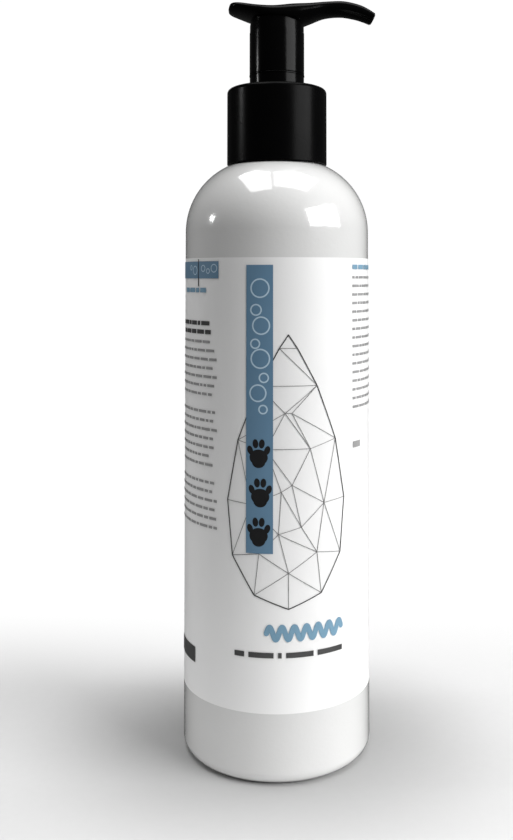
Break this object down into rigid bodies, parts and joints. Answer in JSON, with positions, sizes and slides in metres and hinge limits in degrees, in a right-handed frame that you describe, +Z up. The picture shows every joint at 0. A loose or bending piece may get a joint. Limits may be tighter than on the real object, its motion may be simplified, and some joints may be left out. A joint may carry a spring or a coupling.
{
  "type": "pump bottle",
  "caption": "Round bottle with a wraparound label and a screw-on lotion pump whose head locks down and whose nozzle points to one side.",
  "frame": {"origin": "centre of the bottle's standing face, on the table, on the bottle's axis", "axes": "+Z up along the bottle's axis, +X the way the nozzle points at rest, +Y away from the label's front"},
  "size_m": [0.0523, 0.0501, 0.2002],
  "materials": {
    "bottle_plastic": "gloss",
    "label_film": "satin",
    "black_plastic": "gloss",
    "natural_plastic": "satin",
    "gasket_foam": "matte",
    "spring_steel": "drawn wire",
    "ball_steel": "polished"
  },
  "bodies": {
    "bottle": {"bottle": "bottle_plastic", "label": "label_film"},
    "pump": {"housing": "natural_plastic", "chaplet": "black_plastic", "gasket": "gasket_foam", "dip_tube": "natural_plastic", "spring": "spring_steel"},
    "closure": {"closure": "black_plastic"},
    "stem": {"stem": "natural_plastic", "stem_plug": "natural_plastic"},
    "piston": {"piston": "natural_plastic"},
    "head": {"actuator": "black_plastic"},
    "ball": {"ball": "ball_steel"}
  },
  "joints": [
    {"name": "pump_lift", "type": "slide", "parent": "bottle", "child": "pump", "axis": [0, 0, 1], "range_m": [0, 0.0048]},
    {"name": "closure_turn", "type": "hinge", "parent": "pump", "child": "closure", "pos_m": [0, 0, 0.16], "axis": [0, 0, 1], "range_deg": [0, 540]},
    {"name": "pump_stroke", "type": "slide", "parent": "pump", "child": "stem", "axis": [0, 0, 1], "range_m": [0, 0.014], "deforming": ["spring"]},
    {"name": "head_swivel", "type": "hinge", "parent": "stem", "child": "head", "pos_m": [0, 0, 0.19], "axis": [0, 0, 1], "continuous": true},
    {"name": "piston_play", "type": "slide", "parent": "stem", "child": "piston", "axis": [0, 0, 1], "range_m": [0, 0.001]},
    {"name": "ball_lift", "type": "slide", "parent": "pump", "child": "ball", "axis": [0, 0, 1], "range_m": [0, 0.0012]}
  ],
  "couplings": [
    {"joint": "pump_lift", "follows": "closure_turn", "m_per_rad": 0.00050532}
  ]
}
